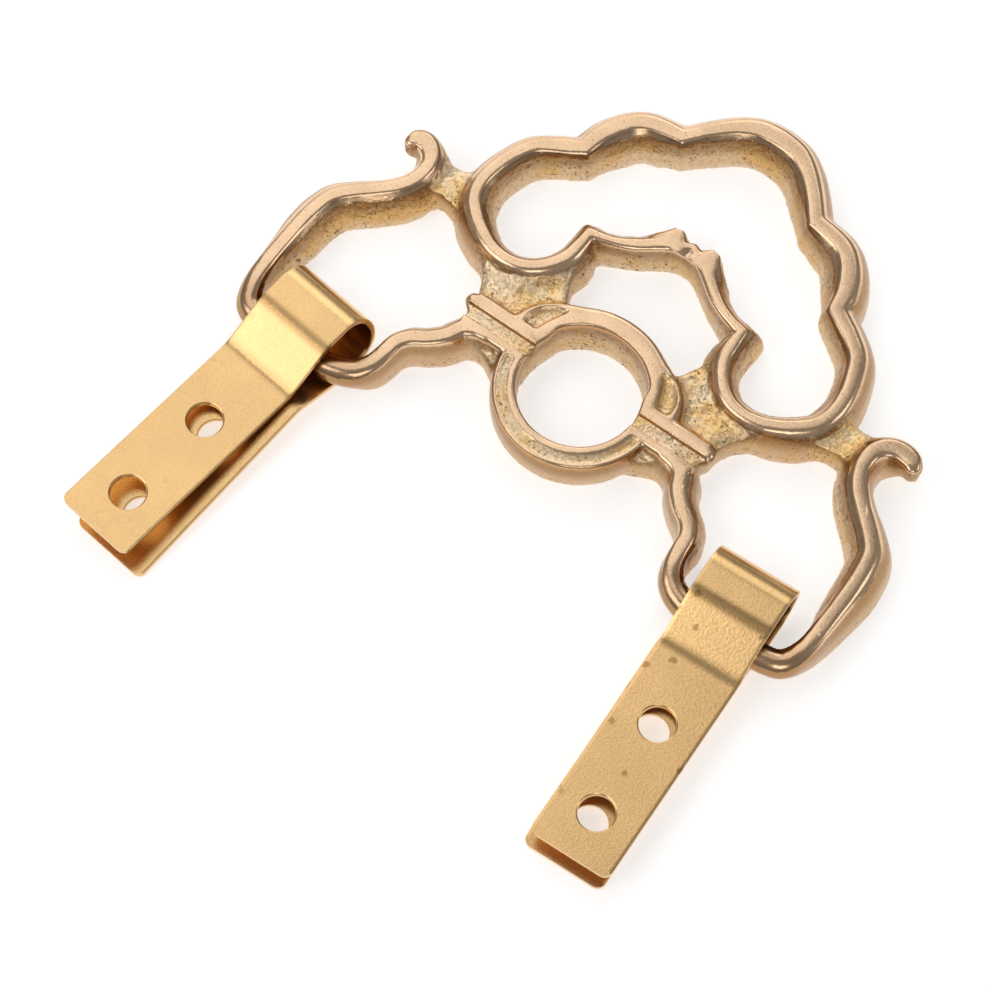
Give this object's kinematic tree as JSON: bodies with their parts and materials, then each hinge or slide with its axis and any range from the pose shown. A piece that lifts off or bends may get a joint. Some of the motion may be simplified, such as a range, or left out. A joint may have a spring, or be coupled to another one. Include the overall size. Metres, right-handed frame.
{
  "type": "hinged picture hanger",
  "caption": "Openwork cast brass hanger with a scalloped shell above a ring, and a folded sheet strap swinging on the bar of each side loop.",
  "frame": {"origin": "on the flat back's plane, under the middle of the bounding box, with the casting and the straps lying flat", "axes": "+Z out of the casting's decorated front, +Y from the straps' free ends towards the top of the shell, +X to the right seen from the front"},
  "size_m": [0.0592, 0.0644, 0.0055],
  "materials": {
    "cast_brass": "satin polished ribs over rough sand-cast walls",
    "sheet_brass": "satin, with brown tarnish spots"
  },
  "bodies": {
    "casting": {"hanger_casting": "cast_brass"},
    "left_strap": {"left_strap": "sheet_brass"},
    "right_strap": {"right_strap": "sheet_brass"}
  },
  "joints": [
    {"name": "left_strap_swing", "type": "hinge", "parent": "casting", "child": "left_strap", "pos_m": [-0.022, -0.00904, 0.0026], "axis": [-1, 0, 0], "range_deg": [-150, 165]},
    {"name": "right_strap_swing", "type": "hinge", "parent": "casting", "child": "right_strap", "pos_m": [0.0213, -0.00904, 0.0026], "axis": [-1, 0, 0], "range_deg": [-150, 165]}
  ]
}
